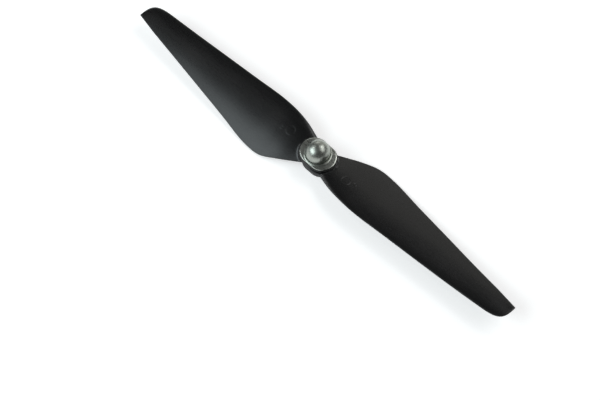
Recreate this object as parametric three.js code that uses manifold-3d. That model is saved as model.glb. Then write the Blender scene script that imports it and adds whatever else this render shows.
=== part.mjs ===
// Two-blade self-tightening propeller for a small camera quadcopter.
//
// The blades and the hub are one nylon moulding. A turned aluminium dome nut goes down
// through the hub from above with an oblong flange plate and a thin spacer ring under it,
// and a collar on the underside holds its shank. The motor's threaded shaft screws into
// the nut from below.
//
// Millimetres. The motor shaft's axis is Z, and Z = 0 is the collar's face, which seats on
// the motor. The blades lie along X. Seen from above the propeller turns clockwise, so the
// +X blade leads with its -Y edge.

import * as THREE from 'three';
import { LoftGeometry } from 'three/addons/geometries/LoftGeometry.js';
import { mergeVertices } from 'three/addons/utils/BufferGeometryUtils.js';
import Module from 'manifold-3d';

// Motor shaft: 6 mm with a left-hand thread, so the hole is drawn at the thread's crest.
const SHAFT_HOLE_RADIUS = 3.0;
const SHAFT_HOLE_DEPTH = 13.0;
const DRILL_POINT = 1.8;

// Heights of the stack above the motor seat.
const COLLAR_TOP = 1.2;
const HUB_BOTTOM = 0.3;
const HUB_TOP = 7.6;
const SPACER_TOP = 8.5;
const PLATE_BOTTOM = 8.8;
const PLATE_TOP = 9.6;
const DOME_TOP = 17.5;

// Radii of the round parts.
const SHANK_RADIUS = 4.7;
const COLLAR_RADIUS = 5.9;
const LIP_RADIUS = 6.95;
const DOME_RADIUS = 6.0;

// The hub, spacer and plate are oblong: two half rounds moved apart along X. The hub's rim
// also turns a little towards the leading edges, which rise out of it.
const PLATE_RADIUS = 7.0;
const PLATE_OFFSET = 2.6;
const SPACER_RADIUS = 7.35;
const SPACER_OFFSET = 2.6;
const HUB_RIM_RADIUS = 7.5;
const HUB_RIM_OFFSET = 3.1;
const HUB_RIM_TURN = -9;
const HUB_FOOT_RADIUS = 6.8;
const HUB_FOOT_OFFSET = 1.8;

// Clearances: around the shank, and between faces that rest on each other.
const FIT_CLEARANCE = 0.06;
const FACE_CLEARANCE = 0.02;

// Blade: chord stations as [distance out, leading edge y and z, trailing edge y and z].
const CHORD_STATIONS = [
  [4, -5.9, 6.2, 6.7, 4.7],
  [9, -7.5, 7.1, 9.6, 3.8],
  [16, -9.4, 8.2, 13.5, 2.6],
  [24, -10.5, 9.0, 17.0, 0.9],
  [34, -10.8, 9.1, 17.3, 0.7],
  [52, -9.6, 9.0, 14.6, 2.4],
  [72, -8.3, 8.9, 11.8, 4.4],
  [92, -6.9, 9.0, 9.0, 6.2],
  [108, -5.7, 9.6, 6.9, 8.0],
];
const TIP_RADIUS = 119.45;
const TIP_CORNER = new THREE.Vector3(TIP_RADIUS, 5.0, 9.4);
const TIP_LEAD_HANDLE = 9.6;
const TIP_CORNER_HANDLE = 7.8;

// Blade section: thickness at the axis and at the tip, and the camber of the chord line.
const AXIS_THICKNESS = 2.4;
const TIP_THICKNESS = 0.9;
const THICKEST_SHARE_OF_CHORD = 0.4;
const EDGE_HALF_THICKNESS = 0.2;
const CAMBER = 0.04;

const SECTION_POINTS = 20;
const ROWS_PER_STATION = 5;
const TIP_ROWS = 8;
const ROUND_SEGMENTS = 48;
const DOME_STEPS = 10;
const AXIS = new THREE.Vector3(0, 0, 1);

const wasm = await Module();
wasm.setup();

function toSolid(geometry) {
  const positions = new THREE.BufferGeometry();
  positions.setAttribute('position', geometry.attributes.position.clone());
  positions.setIndex(geometry.index);
  const merged = mergeVertices(positions, 1e-4);
  return new wasm.Manifold(new wasm.Mesh({
    numProp: 3,
    vertProperties: Float32Array.from(merged.attributes.position.array),
    triVerts: Uint32Array.from(merged.index.array),
  }));
}

function toGeometry(solid) {
  const mesh = solid.getMesh();
  const geometry = new THREE.BufferGeometry();
  geometry.setAttribute('position', new THREE.BufferAttribute(mesh.vertProperties, 3));
  geometry.setIndex(new THREE.BufferAttribute(mesh.triVerts, 1));
  geometry.computeVertexNormals();
  return geometry;
}

// A turned shape around Z from a profile of [radius, height] points.
function turned(profile) {
  const points = profile.map(([radius, height]) => new THREE.Vector2(radius, height));
  const geometry = new THREE.LatheGeometry(points, ROUND_SEGMENTS, Math.PI / ROUND_SEGMENTS);
  return geometry.rotateX(Math.PI / 2);
}

function roundPlug(radius, bottom, top) {
  return turned([[0, bottom], [radius, bottom], [radius, top], [0, top]]);
}

// A shape lofted through oblong rings, given as [radius, offset, turn in degrees, height].
function oblong(rings) {
  const sections = rings.map(([radius, offset, turn, height]) => {
    const points = [];
    for (let i = 0; i < ROUND_SEGMENTS; i += 1) {
      const angle = ((i + 0.5) / ROUND_SEGMENTS) * 2 * Math.PI;
      const x = radius * Math.cos(angle) + Math.sign(Math.cos(angle)) * offset;
      const point = new THREE.Vector3(x, radius * Math.sin(angle), height);
      points.push(point.applyAxisAngle(AXIS, THREE.MathUtils.degToRad(turn)));
    }
    return points;
  });
  return new LoftGeometry(sections, { capStart: true, capEnd: true });
}

// Half of the section's thickness at a share of the chord, from 0 at the leading edge.
function halfThickness(share, thickness) {
  const shape = 2.969 * Math.sqrt(share) - 1.26 * share - 3.516 * share ** 2
    + 2.843 * share ** 3 - 1.015 * share ** 4;
  return Math.hypot(0.5 * thickness * shape, EDGE_HALF_THICKNESS);
}

// One closed section, from the trailing edge over the top to the leading edge and back.
function bladeSection(lead, trail) {
  const chord = trail.clone().sub(lead);
  const length = chord.length();
  const up = new THREE.Vector3(1, 0, 0).cross(chord).normalize();
  const distance = Math.min(1, trail.x / TIP_RADIUS);
  const tapered = THREE.MathUtils.lerp(AXIS_THICKNESS, TIP_THICKNESS, Math.sqrt(distance));
  const thickness = Math.min(tapered, length * THICKEST_SHARE_OF_CHORD);
  const points = [];
  for (let i = 0; i < SECTION_POINTS; i += 1) {
    const angle = (i / SECTION_POINTS) * 2 * Math.PI;
    const share = (1 + Math.cos(angle)) / 2;
    const onEdge = i === 0 || i === SECTION_POINTS / 2;
    const side = onEdge ? 0 : Math.sign(Math.sin(angle));
    const rise = 4 * CAMBER * length * share * (1 - share);
    const offset = rise + side * halfThickness(share, thickness);
    points.push(lead.clone().addScaledVector(chord, share).addScaledVector(up, offset));
  }
  return points;
}

// The leading edge rounds over into the trailing edge's sharp corner at the tip.
function bladeGeometry() {
  const leadPoints = CHORD_STATIONS.map(([x, y, z]) => new THREE.Vector3(x, y, z));
  const trailPoints = CHORD_STATIONS.map(([x, , , y, z]) => new THREE.Vector3(x, y, z));
  const leadCurve = new THREE.CatmullRomCurve3(leadPoints);
  const trailCurve = new THREE.CatmullRomCurve3(trailPoints);
  const rows = (CHORD_STATIONS.length - 1) * ROWS_PER_STATION;
  const leadEnd = leadPoints.at(-1);
  const tipLead = new THREE.CubicBezierCurve3(
    leadEnd,
    leadEnd.clone().addScaledVector(leadCurve.getTangent(1), TIP_LEAD_HANDLE),
    TIP_CORNER.clone().setY(TIP_CORNER.y - TIP_CORNER_HANDLE),
    TIP_CORNER,
  );
  const tipTrail = new THREE.LineCurve3(trailPoints.at(-1), TIP_CORNER);
  const leads = leadCurve.getPoints(rows);
  const trails = trailCurve.getPoints(rows);
  for (let i = 1; i < TIP_ROWS; i += 1) {
    const share = 1 - (1 - i / TIP_ROWS) ** 2;
    leads.push(tipLead.getPoint(share));
    trails.push(tipTrail.getPoint(share));
  }
  const sections = leads.map((lead, i) => bladeSection(lead, trails[i]));
  return new LoftGeometry(sections, { capStart: true, capEnd: true });
}

// Blades and hub in one moulding, bored for the nut's shank, counterbored for the collar,
// and cut clear above the rim so that the spacer ring sits on a flat seat.
function bladeMoulding() {
  const rimOutline = [HUB_RIM_OFFSET, HUB_RIM_TURN];
  const hub = oblong([
    [HUB_FOOT_RADIUS - 0.5, HUB_FOOT_OFFSET, 0, HUB_BOTTOM],
    [HUB_FOOT_RADIUS, HUB_FOOT_OFFSET, 0, HUB_BOTTOM + 0.5],
    [HUB_RIM_RADIUS, ...rimOutline, HUB_TOP - 0.4],
    [HUB_RIM_RADIUS - 0.2, ...rimOutline, HUB_TOP],
  ]);
  const seatClearing = oblong([
    [HUB_RIM_RADIUS, ...rimOutline, HUB_TOP],
    [HUB_RIM_RADIUS, ...rimOutline, DOME_TOP],
  ]);
  const shankHole = roundPlug(SHANK_RADIUS + FIT_CLEARANCE, -1, DOME_TOP);
  const counterbore = roundPlug(COLLAR_RADIUS + FIT_CLEARANCE, -1, COLLAR_TOP + FACE_CLEARANCE);
  const solid = toSolid(hub)
    .add(toSolid(bladeGeometry()))
    .add(toSolid(bladeGeometry().rotateZ(Math.PI)))
    .subtract(toSolid(seatClearing))
    .subtract(toSolid(shankHole))
    .subtract(toSolid(counterbore));
  return toGeometry(solid);
}

// Dome, lip and shank turned in one piece, with the shaft's blind hole up the middle.
function domeNut() {
  const lipBottom = PLATE_TOP + FACE_CLEARANCE;
  const domeCentre = DOME_TOP - DOME_RADIUS;
  const profile = [
    [0, SHAFT_HOLE_DEPTH + DRILL_POINT],
    [SHAFT_HOLE_RADIUS, SHAFT_HOLE_DEPTH],
    [SHAFT_HOLE_RADIUS, 0.7],
    [SHAFT_HOLE_RADIUS + 0.5, 0.2],
    [SHANK_RADIUS, 0.2],
    [SHANK_RADIUS, lipBottom],
    [LIP_RADIUS, lipBottom],
    [LIP_RADIUS, lipBottom + 0.25],
    [LIP_RADIUS - 0.2, lipBottom + 0.45],
    [LIP_RADIUS - 0.5, lipBottom + 0.45],
    [DOME_RADIUS + 0.15, lipBottom + 0.25],
    [DOME_RADIUS, lipBottom + 0.25],
  ];
  for (let i = 0; i < DOME_STEPS; i += 1) {
    const angle = (i / DOME_STEPS) * (Math.PI / 2);
    profile.push([DOME_RADIUS * Math.cos(angle), domeCentre + DOME_RADIUS * Math.sin(angle)]);
  }
  profile.push([0, DOME_TOP]);
  return turned(profile);
}

// Oblong aluminium plate with two flats 14 mm apart, stepped underneath.
function flangePlate() {
  const stepBottom = SPACER_TOP + FACE_CLEARANCE;
  const outside = oblong([
    [PLATE_RADIUS - 0.9, PLATE_OFFSET, 0, stepBottom],
    [PLATE_RADIUS - 0.9, PLATE_OFFSET, 0, PLATE_BOTTOM],
    [PLATE_RADIUS, PLATE_OFFSET, 0, PLATE_BOTTOM],
    [PLATE_RADIUS, PLATE_OFFSET, 0, PLATE_TOP - 0.15],
    [PLATE_RADIUS - 0.15, PLATE_OFFSET, 0, PLATE_TOP],
  ]);
  const hole = roundPlug(SHANK_RADIUS + FIT_CLEARANCE, 0, DOME_TOP);
  return toGeometry(toSolid(outside).subtract(toSolid(hole)));
}

function spacerRing() {
  const outside = oblong([
    [SPACER_RADIUS, SPACER_OFFSET, 0, HUB_TOP + FACE_CLEARANCE],
    [SPACER_RADIUS, SPACER_OFFSET, 0, SPACER_TOP],
  ]);
  const hole = roundPlug(SHANK_RADIUS + FIT_CLEARANCE, 0, DOME_TOP);
  return toGeometry(toSolid(outside).subtract(toSolid(hole)));
}

// The collar is closed on the shank's end, and its face is the motor seat.
function lowerCollar() {
  const inside = SHANK_RADIUS + FIT_CLEARANCE;
  return turned([
    [inside, 0],
    [COLLAR_RADIUS - 0.2, 0],
    [COLLAR_RADIUS, 0.2],
    [COLLAR_RADIUS, COLLAR_TOP],
    [inside, COLLAR_TOP],
    [inside, 0],
  ]);
}

function finish(color, roughness, metalness) {
  return new THREE.MeshStandardMaterial({ color, roughness, metalness });
}

const blackNylon = finish(0x17181a, 0.42, 0.0);
const blackFibre = finish(0x0c0c0d, 0.7, 0.0);
const polishedAluminium = finish(0xc4c8c2, 0.14, 1.0);
const bluntAluminium = finish(0x9b9f99, 0.42, 1.0);
const brightAluminium = finish(0xb4b7b2, 0.28, 1.0);

const pieces = [
  ['blade_moulding', bladeMoulding(), blackNylon],
  ['dome_nut', domeNut(), polishedAluminium],
  ['flange_plate', flangePlate(), bluntAluminium],
  ['spacer_ring', spacerRing(), blackFibre],
  ['lower_collar', lowerCollar(), brightAluminium],
];

const propeller = new THREE.Group();
for (const [name, geometry, material] of pieces) {
  const mesh = new THREE.Mesh(geometry, material);
  mesh.name = name;
  propeller.add(mesh);
}

export default propeller;
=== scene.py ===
import bpy
import bmesh
import math
from mathutils import Matrix, Quaternion, Vector
from mathutils.bvhtree import BVHTree


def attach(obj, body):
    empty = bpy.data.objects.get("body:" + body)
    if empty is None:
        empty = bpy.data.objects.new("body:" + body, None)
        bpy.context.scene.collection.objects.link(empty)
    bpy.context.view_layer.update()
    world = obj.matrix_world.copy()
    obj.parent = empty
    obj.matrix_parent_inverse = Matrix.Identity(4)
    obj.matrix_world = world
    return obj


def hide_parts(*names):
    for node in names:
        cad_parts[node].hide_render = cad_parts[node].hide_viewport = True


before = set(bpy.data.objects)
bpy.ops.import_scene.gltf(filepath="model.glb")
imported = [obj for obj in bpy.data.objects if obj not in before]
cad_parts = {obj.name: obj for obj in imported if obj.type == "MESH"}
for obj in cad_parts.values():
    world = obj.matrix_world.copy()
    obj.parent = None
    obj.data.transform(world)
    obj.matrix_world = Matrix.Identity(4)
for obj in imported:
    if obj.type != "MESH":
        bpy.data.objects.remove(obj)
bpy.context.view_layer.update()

MM = 0.001
hub_axis = Vector((0.0, 0.0, 1.0))


# ---------------------------------------------------------------------------------------
# Table, light and camera. A light table, lit from below so that small parts throw no hard
# shadow. Soft boxes and a small lamp stand over it on the left and on the right, two low
# pale panels stand behind, and the room is dim. The camera looks down from the right.
# ---------------------------------------------------------------------------------------
scene = bpy.context.scene
scene.view_settings.view_transform = "Standard"

lens_mm = 93.95
camera_azimuth = math.radians(49.42)
camera_elevation = math.radians(63.82)
camera_roll = math.radians(-5.36)
camera_distance = 0.7376
camera_aim = Vector((0.0096, -0.0222, 0.006))

camera_data = bpy.data.cameras.new("camera")
camera_data.lens = lens_mm
camera_data.sensor_width = 36.0
camera = bpy.data.objects.new("camera", camera_data)
towards_camera = Vector((
    math.sin(camera_azimuth) * math.cos(camera_elevation),
    -math.cos(camera_azimuth) * math.cos(camera_elevation),
    math.sin(camera_elevation),
))
camera.location = camera_aim + towards_camera * camera_distance
camera.rotation_mode = "QUATERNION"
camera.rotation_quaternion = (
    towards_camera.to_track_quat("Z", "Y") @ Quaternion((0.0, 0.0, 1.0), camera_roll)
)
scene.collection.objects.link(camera)
scene.camera = camera


def new_material(name):
    material = bpy.data.materials.new(name)
    material.use_nodes = True
    return material, material.node_tree.nodes, material.node_tree.links


paper, nodes, links = new_material("white_paper")
nodes["Principled BSDF"].inputs["Base Color"].default_value = (0.8, 0.8, 0.8, 1.0)
nodes["Principled BSDF"].inputs["Roughness"].default_value = 0.9
nodes["Principled BSDF"].inputs["Specular IOR Level"].default_value = 0.1
nodes["Principled BSDF"].inputs["Emission Color"].default_value = (1.0, 1.0, 1.0, 1.0)
nodes["Principled BSDF"].inputs["Emission Strength"].default_value = 0.52
bm = bmesh.new()
bmesh.ops.create_grid(bm, x_segments=1, y_segments=1, size=1.6)
floor_mesh = bpy.data.meshes.new("table")
bm.to_mesh(floor_mesh)
bm.free()
floor_mesh.materials.append(paper)
floor = bpy.data.objects.new("table", floor_mesh)
scene.collection.objects.link(floor)

world = bpy.data.worlds.new("room")
world.use_nodes = True
world.node_tree.nodes["Background"].inputs["Color"].default_value = (1.0, 1.0, 1.0, 1.0)
world.node_tree.nodes["Background"].inputs["Strength"].default_value = 0.07
scene.world = world


def soft_box(name, direction, distance, size, watts, colour):
    data = bpy.data.lights.new(name, "AREA")
    data.shape = "RECTANGLE"
    data.size, data.size_y = size
    data.energy = watts
    data.color = colour
    box = bpy.data.objects.new(name, data)
    direction = Vector(direction).normalized()
    box.location = direction * distance
    box.rotation_mode = "QUATERNION"
    box.rotation_quaternion = direction.to_track_quat("Z", "Y")
    scene.collection.objects.link(box)
    return box


soft_box("left_panel", (-0.47, -0.7, 0.53), 1.6, (1.5, 0.6), 11.5, (0.9, 1.0, 1.03))
soft_box("left_upper_panel", (-0.36, -0.53, 0.766), 1.6, (1.5, 0.42), 5.2, (0.9, 1.0, 1.03))
soft_box("left_lamp", (-0.627, -0.083, 0.775), 1.6, (0.26, 0.26), 1.2, (1.0, 1.0, 1.0))
soft_box("right_lamp", (0.079, 0.588, 0.805), 1.6, (0.26, 0.26), 1.2, (1.0, 1.0, 1.0))
soft_box("right_panel", (0.36, 0.57, 0.73), 1.6, (1.5, 0.9), 8.2, (1.0, 1.0, 1.0))
soft_box("rear_left_panel", (-0.7, 0.587, 0.407), 1.7, (0.8, 0.5), 1.4, (1.0, 1.0, 1.0))
soft_box("rear_panel", (-0.32, 0.88, 0.36), 1.8, (1.9, 1.2), 3.3, (1.0, 0.98, 0.92))


# ---------------------------------------------------------------------------------------
# Blades and hub: one moulding in black glass-filled nylon. The mould leaves a fine satin grain, thin
# rounded edges and small round ejector marks at the roots; the edges are coloured lighter, partly from
# handling, partly as a painted highlight.
# ---------------------------------------------------------------------------------------
# Chord stations in millimetres: distance out, leading edge y and z, trailing edge y and z.
chord_stations = [
    (4.0, -5.9, 6.2, 6.7, 4.7),
    (9.0, -7.5, 7.1, 9.6, 3.8),
    (16.0, -9.4, 8.2, 13.5, 2.6),
    (24.0, -10.5, 9.0, 17.0, 0.9),
    (34.0, -10.8, 9.1, 17.29, 0.7),
    (52.0, -9.6, 9.0, 14.6, 2.4),
    (72.0, -8.3, 8.9, 11.8, 4.4),
    (92.0, -6.9, 9.0, 9.0, 6.2),
    (108.0, -5.7, 9.6, 6.9, 8.0),
]
tip_radius = 119.445
tip_corner = Vector((tip_radius, 5.0, 9.4))
tip_lead_handle = 9.6
tip_corner_handle = 7.8
axis_thickness = 2.4
tip_thickness = 0.9
thickest_share_of_chord = 0.4
edge_half_thickness = 0.2
camber = 0.04
section_points = 64
rows_per_station = 14
tip_rows = 18
hub_top = 7.6
hub_bottom = 0.3
hub_rim = (7.5, 3.1, math.radians(-9.0))
hub_foot = (6.8, 1.8, 0.0)
shank_hole_radius = 4.76
collar_hole_radius = 5.96
collar_hole_top = 1.22
root_fillet = 1.0


def catmull_rom(points, steps):
    """Points along a centripetal Catmull-Rom curve, as many steps between each pair."""
    ends = [points[0] * 2 - points[1]] + points + [points[-1] * 2 - points[-2]]
    out = []
    for p0, p1, p2, p3 in zip(ends, ends[1:], ends[2:], ends[3:]):
        d0, d1, d2 = ((a - b).length ** 0.5 for a, b in ((p0, p1), (p1, p2), (p2, p3)))
        t1 = ((p1 - p0) / d0 - (p2 - p0) / (d0 + d1) + (p2 - p1) / d1) * d1
        t2 = ((p2 - p1) / d1 - (p3 - p1) / (d1 + d2) + (p3 - p2) / d2) * d1
        for i in range(steps):
            t = i / steps
            out.append(
                p1 + t1 * t + (p2 * 3 - p1 * 3 - t1 * 2 - t2) * t ** 2
                + (p1 * 2 - p2 * 2 + t1 + t2) * t ** 3
            )
    return out + [points[-1]]


def cubic(a, b, c, d, t):
    return a * (1 - t) ** 3 + b * 3 * (1 - t) ** 2 * t + c * 3 * (1 - t) * t ** 2 + d * t ** 3


def outside_oblong(x, y, radius, offset, turn):
    """How far a point lies outside an oblong: two half rounds moved apart along X."""
    along = x * math.cos(turn) + y * math.sin(turn)
    across = y * math.cos(turn) - x * math.sin(turn)
    return math.hypot(max(abs(along) - offset, 0.0), across) - radius


def oblong_ring(radius, offset, turn, height, count=128):
    ring = []
    for i in range(count):
        angle = (i + 0.5) / count * 2 * math.pi
        x = radius * math.cos(angle) + math.copysign(offset, math.cos(angle))
        point = Vector((x, radius * math.sin(angle), height))
        ring.append(Matrix.Rotation(turn, 3, hub_axis) @ point)
    return ring


def loft(rings):
    """A closed bmesh skinned through rings of as many points each, with flat ends."""
    bm = bmesh.new()
    made = bmesh.ops.create_circle(bm, segments=len(rings[0]), radius=1.0, cap_ends=False)
    verts = made["verts"]
    edges = list(bm.edges)
    for vert, point in zip(verts, rings[0]):
        vert.co = point
    first_edges = edges
    for ring in rings[1:]:
        grown = bmesh.ops.extrude_edge_only(bm, edges=edges)["geom"]
        verts = [part for part in grown if isinstance(part, bmesh.types.BMVert)]
        edges = [part for part in grown if isinstance(part, bmesh.types.BMEdge)]
        for vert, point in zip(verts, ring):
            vert.co = point
    bmesh.ops.edgeloop_fill(bm, edges=first_edges)
    bmesh.ops.edgeloop_fill(bm, edges=edges)
    bmesh.ops.recalc_face_normals(bm, faces=bm.faces)
    return bm


def blade_section(lead, trail):
    chord = trail - lead
    up = Vector((1.0, 0.0, 0.0)).cross(chord).normalized()
    out = min(1.0, trail.x / tip_radius) ** 0.5
    tapered = axis_thickness + (tip_thickness - axis_thickness) * out
    thickness = min(tapered, chord.length * thickest_share_of_chord)
    points = []
    for i in range(section_points):
        angle = i / section_points * 2 * math.pi
        share = (1 + math.cos(angle)) / 2
        side = 0 if i in (0, section_points // 2) else math.copysign(1, math.sin(angle))
        shape = (
            2.969 * share ** 0.5 - 1.26 * share - 3.516 * share ** 2
            + 2.843 * share ** 3 - 1.015 * share ** 4
        )
        half = math.hypot(0.5 * thickness * shape, edge_half_thickness)
        rise = 4 * camber * chord.length * share * (1 - share)
        point = lead + chord * share + up * (rise + side * half)
        if side > 0:
            point.z = max(point.z, min(point.z + fillet_height(point.x, point.y), hub_top - 0.35))
        points.append(point)
    return points


def blade_edges():
    leads = [Vector((x, y, z)) for x, y, z, _, _ in chord_stations]
    trails = [Vector((x, y, z)) for x, _, _, y, z in chord_stations]
    lead_points = catmull_rom(leads, rows_per_station)
    trail_points = catmull_rom(trails, rows_per_station)
    heading = (lead_points[-1] - lead_points[-2]).normalized()
    tip_handles = (
        leads[-1],
        leads[-1] + heading * tip_lead_handle,
        tip_corner - Vector((0.0, tip_corner_handle, 0.0)),
        tip_corner,
    )
    for i in range(1, tip_rows):
        share = 1 - (1 - i / tip_rows) ** 2
        lead_points.append(cubic(*tip_handles, share))
        trail_points.append(trails[-1].lerp(tip_corner, share))
    return lead_points, trail_points


def fillet_height(x, y):
    """Extra height that the moulded root fillet gives where the blade meets the hub's wall."""
    gap = max(outside_oblong(x, y, *hub_rim), 0.0)
    if gap >= root_fillet:
        return 0.0
    return root_fillet - math.sqrt(root_fillet ** 2 - (root_fillet - gap) ** 2)


def as_object(bm, name, scale=MM):
    bmesh.ops.scale(bm, vec=(scale, scale, scale), verts=bm.verts)
    mesh = bpy.data.meshes.new(name)
    bm.to_mesh(mesh)
    bm.free()
    piece = bpy.data.objects.new(name, mesh)
    scene.collection.objects.link(piece)
    return piece


def combine(piece, other, operation):
    """Joins or cuts piece with other, applies the result and removes the other."""
    modifier = piece.modifiers.new("join", "BOOLEAN")
    modifier.operation = operation
    modifier.solver = "EXACT"
    modifier.object = other
    result = bpy.data.meshes.new_from_object(
        piece.evaluated_get(bpy.context.evaluated_depsgraph_get())
    )
    old = piece.data
    piece.modifiers.clear()
    piece.data = result
    bpy.data.meshes.remove(old)
    bpy.data.objects.remove(other)


def shade(piece, degrees):
    piece.data.shade_smooth()
    piece.data.set_sharp_from_angle(angle=math.radians(degrees))


lead_edge, trail_edge = blade_edges()
blade_rings = [blade_section(lead, trail) for lead, trail in zip(lead_edge, trail_edge)]
hub_bm = loft([
    oblong_ring(hub_foot[0] - 0.6, hub_foot[1], 0.0, hub_bottom),
    oblong_ring(hub_foot[0] - 0.3, hub_foot[1], 0.0, hub_bottom + 0.08),
    oblong_ring(hub_foot[0] - 0.08, hub_foot[1], 0.0, hub_bottom + 0.3),
    oblong_ring(*hub_foot, hub_bottom + 0.6),
    oblong_ring(*hub_rim, hub_top - 0.42),
    oblong_ring(hub_rim[0] - 0.03, hub_rim[1], hub_rim[2], hub_top - 0.28),
    oblong_ring(hub_rim[0] - 0.1, hub_rim[1], hub_rim[2], hub_top - 0.15),
    oblong_ring(hub_rim[0] - 0.22, hub_rim[1], hub_rim[2], hub_top - 0.05),
    oblong_ring(hub_rim[0] - 0.38, hub_rim[1], hub_rim[2], hub_top),
])
moulding = as_object(hub_bm, "blades_and_hub")
for turn in (0.0, math.pi):
    blade_bm = loft(blade_rings)
    bmesh.ops.rotate(
        blade_bm, cent=(0, 0, 0), matrix=Matrix.Rotation(turn, 3, hub_axis), verts=blade_bm.verts
    )
    combine(moulding, as_object(blade_bm, "blade"), "UNION")
seat_bm = loft([oblong_ring(*hub_rim, hub_top), oblong_ring(*hub_rim, hub_top + 6.0)])
combine(moulding, as_object(seat_bm, "seat"), "DIFFERENCE")
for radius, low, high in (
    (shank_hole_radius, -2.0, 12.0),
    (collar_hole_radius, -2.0, collar_hole_top),
):
    hole_bm = bmesh.new()
    bmesh.ops.create_cone(
        hole_bm, cap_ends=True, segments=96, radius1=radius, radius2=radius, depth=high - low,
        matrix=Matrix.Translation((0, 0, (low + high) / 2)),
    )
    combine(moulding, as_object(hole_bm, "hole"), "DIFFERENCE")
shade(moulding, 28.0)

# How close each point lies to a blade's edge. The edges are coloured lighter and made rougher there:
# partly where handling rubs the satin finish away, partly a painted highlight along the edges.
edge_wear_and_highlight = moulding.data.attributes.new("edge_wear_and_painted_highlight", "FLOAT", "POINT")
for vert in moulding.data.vertices:
    across = vert.co / MM
    if across.x < 0:
        across.x, across.y = -across.x, -across.y
    near = min(
        min(math.hypot(across.x - edge.x, across.y - edge.y) for edge in lead_edge),
        min(math.hypot(across.x - edge.x, across.y - edge.y) for edge in trail_edge),
    )
    edge_wear_and_highlight.data[vert.index].value = math.exp(-((near / 0.55) ** 2)) if across.x > 9.0 else 0.0

# The hub's upright wall, which the mould leaves with a coarser finish than the blades.
upright_limit = 0.5
hub_reach = 11.5
wall = moulding.data.attributes.new("hub_wall", "FLOAT", "POINT")
for face in moulding.data.polygons:
    from_axis = math.hypot(face.center.x, face.center.y)
    if abs(face.normal.z) < upright_limit and from_axis < hub_reach * MM:
        for index in face.vertices:
            wall.data[index].value = 1.0


def noise(nodes, links, source, scale, detail=4.0, stretch=(1.0, 1.0, 1.0)):
    """A noise pattern with so many grains to the metre, drawn out along an axis at will."""
    mapping = nodes.new("ShaderNodeMapping")
    mapping.inputs["Scale"].default_value = stretch
    links.new(source, mapping.inputs["Vector"])
    pattern = nodes.new("ShaderNodeTexNoise")
    pattern.inputs["Scale"].default_value = scale
    pattern.inputs["Detail"].default_value = detail
    links.new(mapping.outputs["Vector"], pattern.inputs["Vector"])
    return pattern.outputs["Fac"]


def between(nodes, links, factor, low, high):
    """Spreads a pattern over a range of values."""
    spread = nodes.new("ShaderNodeMapRange")
    spread.inputs["From Min"].default_value = 0.3
    spread.inputs["From Max"].default_value = 0.7
    spread.inputs["To Min"].default_value = low
    spread.inputs["To Max"].default_value = high
    links.new(factor, spread.inputs["Value"])
    return spread.outputs["Result"]


def blend(nodes, links, factor, first, second):
    """Mixes two colours by a pattern; either may be a plain colour or another pattern."""
    mix = nodes.new("ShaderNodeMix")
    mix.data_type = "RGBA"
    links.new(factor, mix.inputs["Factor"])
    for value, socket in ((first, mix.inputs[6]), (second, mix.inputs[7])):
        if isinstance(value, tuple):
            socket.default_value = (*value, 1.0)
        else:
            links.new(value, socket)
    return mix.outputs[2]


def calculate(nodes, links, operation, first, second):
    math_node = nodes.new("ShaderNodeMath")
    math_node.operation = operation
    for value, socket in ((first, math_node.inputs[0]), (second, math_node.inputs[1])):
        if isinstance(value, float):
            socket.default_value = value
        else:
            links.new(value, socket)
    return math_node.outputs[0]


def bump(nodes, links, height, depth_mm, strength, under=None):
    node = nodes.new("ShaderNodeBump")
    node.inputs["Distance"].default_value = depth_mm * MM
    node.inputs["Strength"].default_value = strength
    links.new(height, node.inputs["Height"])
    if under is not None:
        links.new(under, node.inputs["Normal"])
    return node.outputs["Normal"]


nylon, nodes, links = new_material("black_nylon")
shader = nodes["Principled BSDF"]
shader.inputs["IOR"].default_value = 1.5
place = nodes.new("ShaderNodeTexCoord").outputs["Object"]
cloud = noise(nodes, links, place, 90.0, 3.0)
flow = noise(nodes, links, place, 420.0, 3.0, (0.2, 1.0, 1.0))
grain = noise(nodes, links, place, 5200.0, 3.0)
edge_wear_and_highlight_input = nodes.new("ShaderNodeAttribute")
edge_wear_and_highlight_input.attribute_name = "edge_wear_and_painted_highlight"
patchy = between(nodes, links, flow, 0.3, 1.0)
rubbed_and_highlit = calculate(nodes, links, "MULTIPLY", edge_wear_and_highlight_input.outputs["Fac"], patchy)
mottle = between(nodes, links, cloud, 0.0, 1.0)
body = blend(nodes, links, mottle, (0.0034, 0.0036, 0.0039), (0.0052, 0.0052, 0.0054))
fibred = blend(nodes, links, between(nodes, links, flow, 0.0, 0.18), body, (0.0085, 0.0085, 0.0086))
# The blades' edges are coloured lighter: partly from handling, partly a painted highlight.
links.new(blend(nodes, links, rubbed_and_highlit, fibred, (0.022, 0.022, 0.022)), shader.inputs["Base Color"])
satin = between(nodes, links, grain, 0.25, 0.31)
uneven = calculate(nodes, links, "ADD", satin, between(nodes, links, flow, -0.008, 0.012))
rougher = calculate(nodes, links, "MULTIPLY", rubbed_and_highlit, 0.12)
upright = nodes.new("ShaderNodeAttribute")
upright.attribute_name = "hub_wall"
coarser = calculate(nodes, links, "MULTIPLY", upright.outputs["Fac"], 0.4)
finish = calculate(nodes, links, "ADD", calculate(nodes, links, "ADD", uneven, rougher), coarser)
links.new(finish, shader.inputs["Roughness"])
streaks = bump(nodes, links, flow, 0.004, 0.12)
links.new(bump(nodes, links, grain, 0.006, 0.3, streaks), shader.inputs["Normal"])
moulding.data.materials.clear()
moulding.data.materials.append(nylon)
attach(moulding, "root")
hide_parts("blade_moulding")


# ---------------------------------------------------------------------------------------
# Mould marks: plain rings cut into the mould near the roots, which stand a hair proud of
# the nylon, and the round witness marks of the ejector pins on the underside.
# ---------------------------------------------------------------------------------------
moulded_bm = bmesh.new()
moulded_bm.from_mesh(moulding.data)
moulded_surface = BVHTree.FromBMesh(moulded_bm)
moulded_bm.free()


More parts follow.
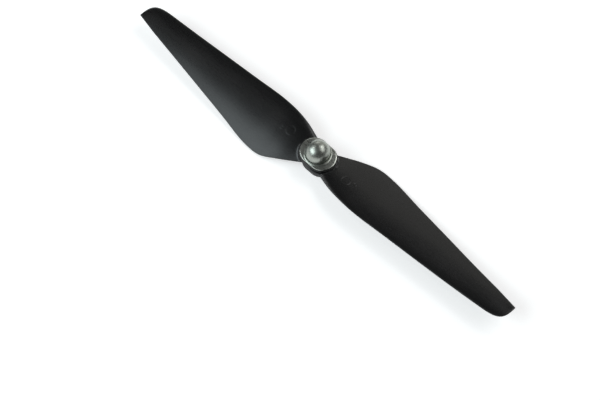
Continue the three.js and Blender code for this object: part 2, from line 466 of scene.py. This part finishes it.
def ring_mark(name, centre, radius, width, height, from_above=True):
    """A round-topped ring laid on the moulding's upper or lower surface, in millimetres."""
    bm = bmesh.new()
    profile = [
        bm.verts.new((radius + across, 0.0, rise))
        for across, rise in (
            (-width / 2, -0.05), (-width / 2, height * 0.6), (-width / 5, height),
            (width / 5, height), (width / 2, height * 0.6), (width / 2, -0.05),
        )
    ]
    edges = [bm.edges.new(pair) for pair in zip(profile, profile[1:] + profile[:1])]
    bmesh.ops.spin(
        bm, geom=profile + edges, cent=(0, 0, 0), axis=(0, 0, 1), angle=2 * math.pi,
        steps=72, use_merge=True,
    )
    bmesh.ops.remove_doubles(bm, verts=bm.verts, dist=1e-5)
    side = 1.0 if from_above else -1.0
    for vert in bm.verts:
        spot = Vector((vert.co.x + centre[0], vert.co.y + centre[1], 60.0 * side))
        hit = moulded_surface.ray_cast(spot * MM, Vector((0.0, 0.0, -side)))[0]
        vert.co = Vector((spot.x, spot.y, hit.z / MM + vert.co.z * side))
    bmesh.ops.recalc_face_normals(bm, faces=bm.faces)
    mark = as_object(bm, name)
    shade(mark, 40.0)
    mark.data.materials.append(nylon)
    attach(mark, "root")
    return mark


for hand, turn in (("near", 1.0), ("far", -1.0)):
    ring_mark(f"root_ring_{hand}", (19.0 * turn, -0.7 * turn), 2.3, 0.4, 0.12)
    ring_mark(f"root_dot_{hand}", (23.6 * turn, 0.9 * turn), 0.75, 0.34, 0.12)
    ring_mark(f"ejector_mark_{hand}", (15.0 * turn, 1.5 * turn), 1.5, 0.22, 0.05, False)
    ring_mark(f"outer_ejector_mark_{hand}", (44.0 * turn, 2.5 * turn), 1.5, 0.22, 0.05, False)


# ---------------------------------------------------------------------------------------
# Dome nut: turned from aluminium bar and polished. A round dome over a raised lip, with a
# shank down through the hub and the shaft's threaded hole up the middle.
# ---------------------------------------------------------------------------------------
plate_top = 9.6
dome_top = 17.5
dome_radius = 6.0
lip_radius = 6.95
shank_radius = 4.7
shaft_hole_radius = 3.0
shaft_hole_depth = 13.0
drill_point = 1.8


def spun(profile, steps=128):
    """A closed bmesh turned around Z from a profile of (radius, height) points."""
    bm = bmesh.new()
    verts = [bm.verts.new((radius, 0.0, height)) for radius, height in profile]
    edges = [bm.edges.new(pair) for pair in zip(verts, verts[1:])]
    bmesh.ops.spin(
        bm, geom=verts + edges, cent=(0, 0, 0), axis=(0, 0, 1), angle=2 * math.pi,
        steps=steps, use_merge=True,
    )
    bmesh.ops.remove_doubles(bm, verts=bm.verts, dist=1e-5)
    bmesh.ops.recalc_face_normals(bm, faces=bm.faces)
    return bm


lip_bottom = plate_top + 0.02
dome_centre = dome_top - dome_radius
nut_profile = [
    (0.0, shaft_hole_depth + drill_point),
    (shaft_hole_radius, shaft_hole_depth),
    (shaft_hole_radius, 0.7),
    (shaft_hole_radius + 0.5, 0.2),
    (shank_radius - 0.1, 0.2),
    (shank_radius, 0.3),
    (shank_radius, lip_bottom),
    (lip_radius - 0.05, lip_bottom),
    (lip_radius, lip_bottom + 0.04),
    (lip_radius - 0.01, lip_bottom + 0.1),
    (lip_radius - 0.05, lip_bottom + 0.15),
    (lip_radius - 0.22, lip_bottom + 0.27),
    (lip_radius - 0.5, lip_bottom + 0.41),
    (lip_radius - 0.55, lip_bottom + 0.41),
    (lip_radius - 0.6, lip_bottom + 0.36),
    (lip_radius - 0.66, lip_bottom + 0.04),
    (dome_radius + 0.12, lip_bottom + 0.02),
    (dome_radius, lip_bottom + 0.1),
    (dome_radius, lip_bottom + 0.3),
]
dome_steps = 40
for i in range(dome_steps):
    angle = i / dome_steps * math.pi / 2
    nut_profile.append(
        (dome_radius * math.cos(angle), dome_centre + dome_radius * math.sin(angle))
    )
nut_profile.append((0.0, dome_top))
dome_nut = as_object(spun(nut_profile), "domed_nut")
shade(dome_nut, 35.0)


def turned_rings(nodes, links, source, pitch_mm):
    """Fine rings about the axis, as a turning tool leaves, from the distance to the axis."""
    split = nodes.new("ShaderNodeSeparateXYZ")
    links.new(source, split.inputs["Vector"])
    square_x = calculate(nodes, links, "MULTIPLY", split.outputs["X"], split.outputs["X"])
    square_y = calculate(nodes, links, "MULTIPLY", split.outputs["Y"], split.outputs["Y"])
    radius = calculate(nodes, links, "SQRT", calculate(nodes, links, "ADD", square_x, square_y), 0.0)
    along = calculate(nodes, links, "ADD", radius, split.outputs["Z"])
    waves = calculate(nodes, links, "MULTIPLY", along, 2 * math.pi / (pitch_mm * MM))
    return calculate(nodes, links, "SINE", waves, 0.0)


polished, nodes, links = new_material("polished_aluminium")
shader = nodes["Principled BSDF"]
shader.inputs["Metallic"].default_value = 1.0
place = nodes.new("ShaderNodeTexCoord").outputs["Object"]
haze = noise(nodes, links, place, 260.0, 4.0)
scuffs = noise(nodes, links, place, 2600.0, 6.0, (1.0, 0.2, 0.6))
satin_peaks = noise(nodes, links, place, 9000.0, 2.0)
tool_rings = turned_rings(nodes, links, place, 0.16)
tone = blend(nodes, links, between(nodes, links, haze, 0.0, 1.0), (0.33, 0.35, 0.315), (0.39, 0.41, 0.375))
links.new(tone, shader.inputs["Base Color"])
gloss = calculate(
    nodes, links, "ADD",
    between(nodes, links, satin_peaks, 0.18, 0.5), between(nodes, links, haze, 0.0, 0.05),
)
links.new(gloss, shader.inputs["Roughness"])
fine = bump(nodes, links, tool_rings, 0.0006, 0.5)
links.new(bump(nodes, links, scuffs, 0.0012, 0.3, fine), shader.inputs["Normal"])
dome_nut.data.materials.append(polished)
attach(dome_nut, "root")
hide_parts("dome_nut")


# ---------------------------------------------------------------------------------------
# Shaft thread: the left-hand thread tapped in the nut's hole, 1 mm pitch. It tightens as
# the motor turns. The ridge is one tapered section wound down the wall of the hole.
# ---------------------------------------------------------------------------------------
thread_pitch = 1.0
thread_turns = 11
thread_steps = 44
thread_bm = bmesh.new()
section = [
    thread_bm.verts.new((radius, 0.0, height))
    for radius, height in (
        (shaft_hole_radius + 0.05, 0.9), (shaft_hole_radius - 0.5, 1.25),
        (shaft_hole_radius - 0.5, 1.38), (shaft_hole_radius + 0.05, 1.73),
    )
]
start = thread_bm.faces.new(section)
bmesh.ops.spin(
    thread_bm, geom=[start], cent=(0, 0, 0), axis=(0, 0, 1), angle=-2 * math.pi * thread_turns,
    dvec=(0, 0, thread_pitch / thread_steps), steps=thread_steps * thread_turns,
)
bmesh.ops.remove_doubles(thread_bm, verts=thread_bm.verts, dist=1e-5)
bmesh.ops.recalc_face_normals(thread_bm, faces=thread_bm.faces)
thread = as_object(thread_bm, "shaft_thread")
shade(thread, 30.0)
thread.data.materials.append(polished)
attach(thread, "root")


# ---------------------------------------------------------------------------------------
# Flange plate: oblong, blanked and blasted aluminium with bright bevelled edges, and two
# flats for a spanner. It is clamped between the nut's lip and the spacer ring.
# ---------------------------------------------------------------------------------------
plate_outline = (7.0, 2.6, 0.0)
plate_bottom = 8.8
spacer_top = 8.5


def bored(piece, radius, low, high):
    hole_bm = bmesh.new()
    bmesh.ops.create_cone(
        hole_bm, cap_ends=True, segments=96, radius1=radius, radius2=radius, depth=high - low,
        matrix=Matrix.Translation((0, 0, (low + high) / 2)),
    )
    combine(piece, as_object(hole_bm, "hole"), "DIFFERENCE")


plate_bm = loft([
    oblong_ring(plate_outline[0] - 0.9, plate_outline[1], 0.0, spacer_top + 0.02),
    oblong_ring(plate_outline[0] - 0.9, plate_outline[1], 0.0, plate_bottom),
    oblong_ring(plate_outline[0] - 0.06, plate_outline[1], 0.0, plate_bottom),
    oblong_ring(*plate_outline, plate_bottom + 0.06),
    oblong_ring(*plate_outline, plate_top - 0.24),
    oblong_ring(plate_outline[0] - 0.04, plate_outline[1], 0.0, plate_top - 0.16),
    oblong_ring(plate_outline[0] - 0.36, plate_outline[1], 0.0, plate_top - 0.02),
    oblong_ring(plate_outline[0] - 0.44, plate_outline[1], 0.0, plate_top),
])
plate = as_object(plate_bm, "oblong_plate")
bored(plate, shank_hole_radius, 0.0, 12.0)
shade(plate, 35.0)
blasted, nodes, links = new_material("machined_aluminium")
shader = nodes["Principled BSDF"]
shader.inputs["Metallic"].default_value = 1.0
place = nodes.new("ShaderNodeTexCoord").outputs["Object"]
pits = noise(nodes, links, place, 3000.0, 5.0)
lay = noise(nodes, links, place, 1500.0, 4.0, (0.15, 1.0, 1.0))
tone = blend(nodes, links, between(nodes, links, pits, 0.0, 1.0), (0.3, 0.315, 0.285), (0.46, 0.475, 0.44))
links.new(tone, shader.inputs["Base Color"])
links.new(between(nodes, links, lay, 0.24, 0.36), shader.inputs["Roughness"])
brushed = bump(nodes, links, lay, 0.006, 0.5)
links.new(bump(nodes, links, pits, 0.006, 0.45, brushed), shader.inputs["Normal"])
plate.data.materials.clear()
plate.data.materials.append(blasted)
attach(plate, "root")
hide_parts("flange_plate")


# ---------------------------------------------------------------------------------------
# Spacer ring: thin black fibre washer between the plate and the hub's rim.
# ---------------------------------------------------------------------------------------
spacer_outline = (7.35, 2.6, 0.0)
spacer_bm = loft([
    oblong_ring(spacer_outline[0] - 0.05, spacer_outline[1], 0.0, hub_top + 0.02),
    oblong_ring(*spacer_outline, hub_top + 0.07),
    oblong_ring(*spacer_outline, spacer_top - 0.12),
    oblong_ring(spacer_outline[0] - 0.04, spacer_outline[1], 0.0, spacer_top - 0.04),
    oblong_ring(spacer_outline[0] - 0.12, spacer_outline[1], 0.0, spacer_top),
])
spacer = as_object(spacer_bm, "fibre_spacer")
bored(spacer, shank_hole_radius, 0.0, 12.0)
shade(spacer, 35.0)
fibre, nodes, links = new_material("black_fibre")
shader = nodes["Principled BSDF"]
place = nodes.new("ShaderNodeTexCoord").outputs["Object"]
plies = noise(nodes, links, place, 2400.0, 4.0, (0.4, 0.4, 3.0))
faded = between(nodes, links, plies, 0.0, 1.0)
tone = blend(nodes, links, faded, (0.005, 0.005, 0.005), (0.014, 0.014, 0.013))
links.new(tone, shader.inputs["Base Color"])
links.new(between(nodes, links, plies, 0.42, 0.6), shader.inputs["Roughness"])
links.new(bump(nodes, links, plies, 0.01, 0.5), shader.inputs["Normal"])
spacer.data.materials.clear()
spacer.data.materials.append(fibre)
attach(spacer, "root")
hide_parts("spacer_ring")


# ---------------------------------------------------------------------------------------
# Lower collar: turned aluminium ring closed onto the shank's end; it seats on the motor.
# ---------------------------------------------------------------------------------------
collar_radius = 5.9
collar_top = 1.2
collar_profile = [
    (shank_hole_radius, 0.08),
    (shank_hole_radius + 0.08, 0.0),
    (collar_radius - 0.2, 0.0),
    (collar_radius, 0.2),
    (collar_radius, collar_top),
    (shank_hole_radius, collar_top),
    (shank_hole_radius, 0.08),
]
collar = as_object(spun(collar_profile), "seat_collar")
shade(collar, 35.0)
collar.data.materials.append(blasted)
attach(collar, "root")
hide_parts("lower_collar")
